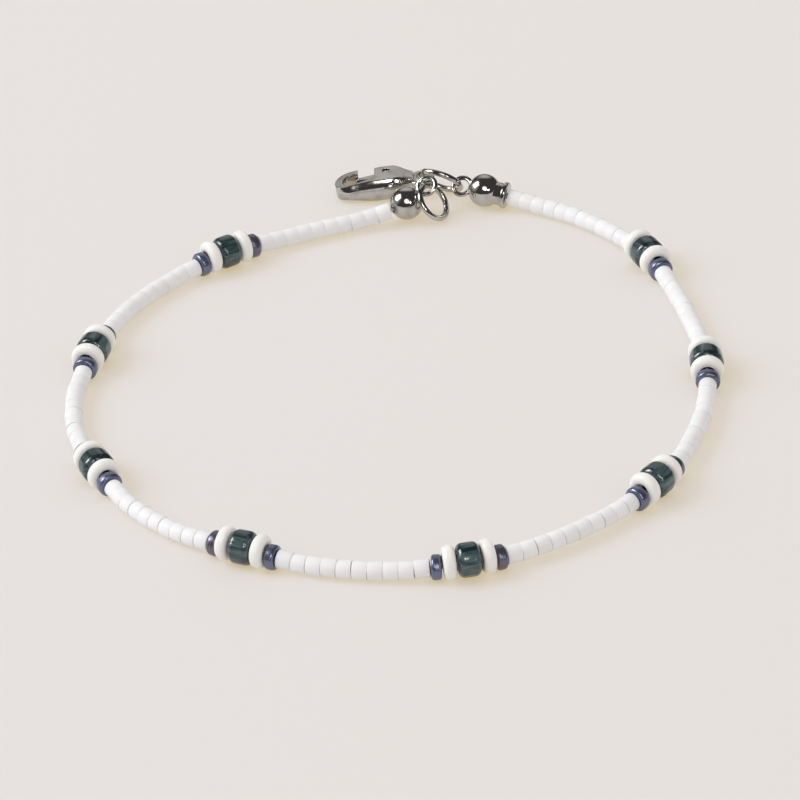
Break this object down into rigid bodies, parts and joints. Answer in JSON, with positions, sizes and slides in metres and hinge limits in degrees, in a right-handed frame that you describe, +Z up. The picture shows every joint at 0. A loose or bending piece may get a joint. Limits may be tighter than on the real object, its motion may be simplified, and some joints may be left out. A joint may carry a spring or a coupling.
{
  "type": "beaded bracelet",
  "caption": "Thin one-strand bracelet of small white beads with evenly spaced teal glass accents, ball ends, jump rings and a lobster clasp, lying open; worn round the wrist.",
  "frame": {"origin": "under the middle of the bracelet's outline, on the surface that it lies on", "axes": "+Z up from the surface; +Y from the front of the loop towards the clasp; +X to the right seen from the front"},
  "size_m": [0.0582, 0.0674, 0.0037],
  "materials": {
    "teal_glass": "dark teal glass with a high polish and faint lengthwise streaks",
    "cream_glass": "opaque cream glass, eggshell",
    "dark_glass": "gunmetal lustre on dark glass",
    "white_glass": "opaque white glass, satin",
    "thread": "pale twisted beading thread",
    "plated_metal": "silver-coloured plating, polished"
  },
  "bodies": {
    "root": {"white_beads_1": "white_glass", "dark_bead_1a": "dark_glass", "cream_bead_1a": "cream_glass", "glass_bead_1": "teal_glass", "cream_bead_1b": "cream_glass", "dark_bead_1b": "dark_glass", "white_beads_2": "white_glass", "dark_bead_2a": "dark_glass", "cream_bead_2a": "cream_glass", "glass_bead_2": "teal_glass", "cream_bead_2b": "cream_glass", "dark_bead_2b": "dark_glass", "white_beads_3": "white_glass", "dark_bead_3a": "dark_glass", "cream_bead_3a": "cream_glass", "glass_bead_3": "teal_glass", "cream_bead_3b": "cream_glass", "dark_bead_3b": "dark_glass", "white_beads_4": "white_glass", "dark_bead_4a": "dark_glass", "cream_bead_4a": "cream_glass", "glass_bead_4": "teal_glass", "cream_bead_4b": "cream_glass", "dark_bead_4b": "dark_glass", "white_beads_5": "white_glass", "dark_bead_5a": "dark_glass", "cream_bead_5a": "cream_glass", "glass_bead_5": "teal_glass", "cream_bead_5b": "cream_glass", "dark_bead_5b": "dark_glass", "white_beads_6": "white_glass", "dark_bead_6a": "dark_glass", "cream_bead_6a": "cream_glass", "glass_bead_6": "teal_glass", "cream_bead_6b": "cream_glass", "dark_bead_6b": "dark_glass", "white_beads_7": "white_glass", "dark_bead_7a": "dark_glass", "cream_bead_7a": "cream_glass", "glass_bead_7": "teal_glass", "cream_bead_7b": "cream_glass", "dark_bead_7b": "dark_glass", "white_beads_8": "white_glass", "dark_bead_8a": "dark_glass", "cream_bead_8a": "cream_glass", "glass_bead_8": "teal_glass", "cream_bead_8b": "cream_glass", "white_beads_9": "white_glass", "thread": "thread", "ball_end_left": "plated_metal", "ball_end_right": "plated_metal", "jump_ring_left": "plated_metal", "jump_ring_right": "plated_metal", "lobster_body": "plated_metal", "lobster_pin": "plated_metal"},
    "clasp_lever": {"lobster_lever": "plated_metal"}
  },
  "joints": [
    {"name": "lever_hinge", "type": "hinge", "parent": "root", "child": "clasp_lever", "pos_m": [0.00078, 0.03217, 0.00122], "axis": [-0.061, -0.0021, 0.9981], "range_deg": [0, 18], "stiffness_Nm_per_rad": 0.002, "springref_deg": -5.73}
  ]
}
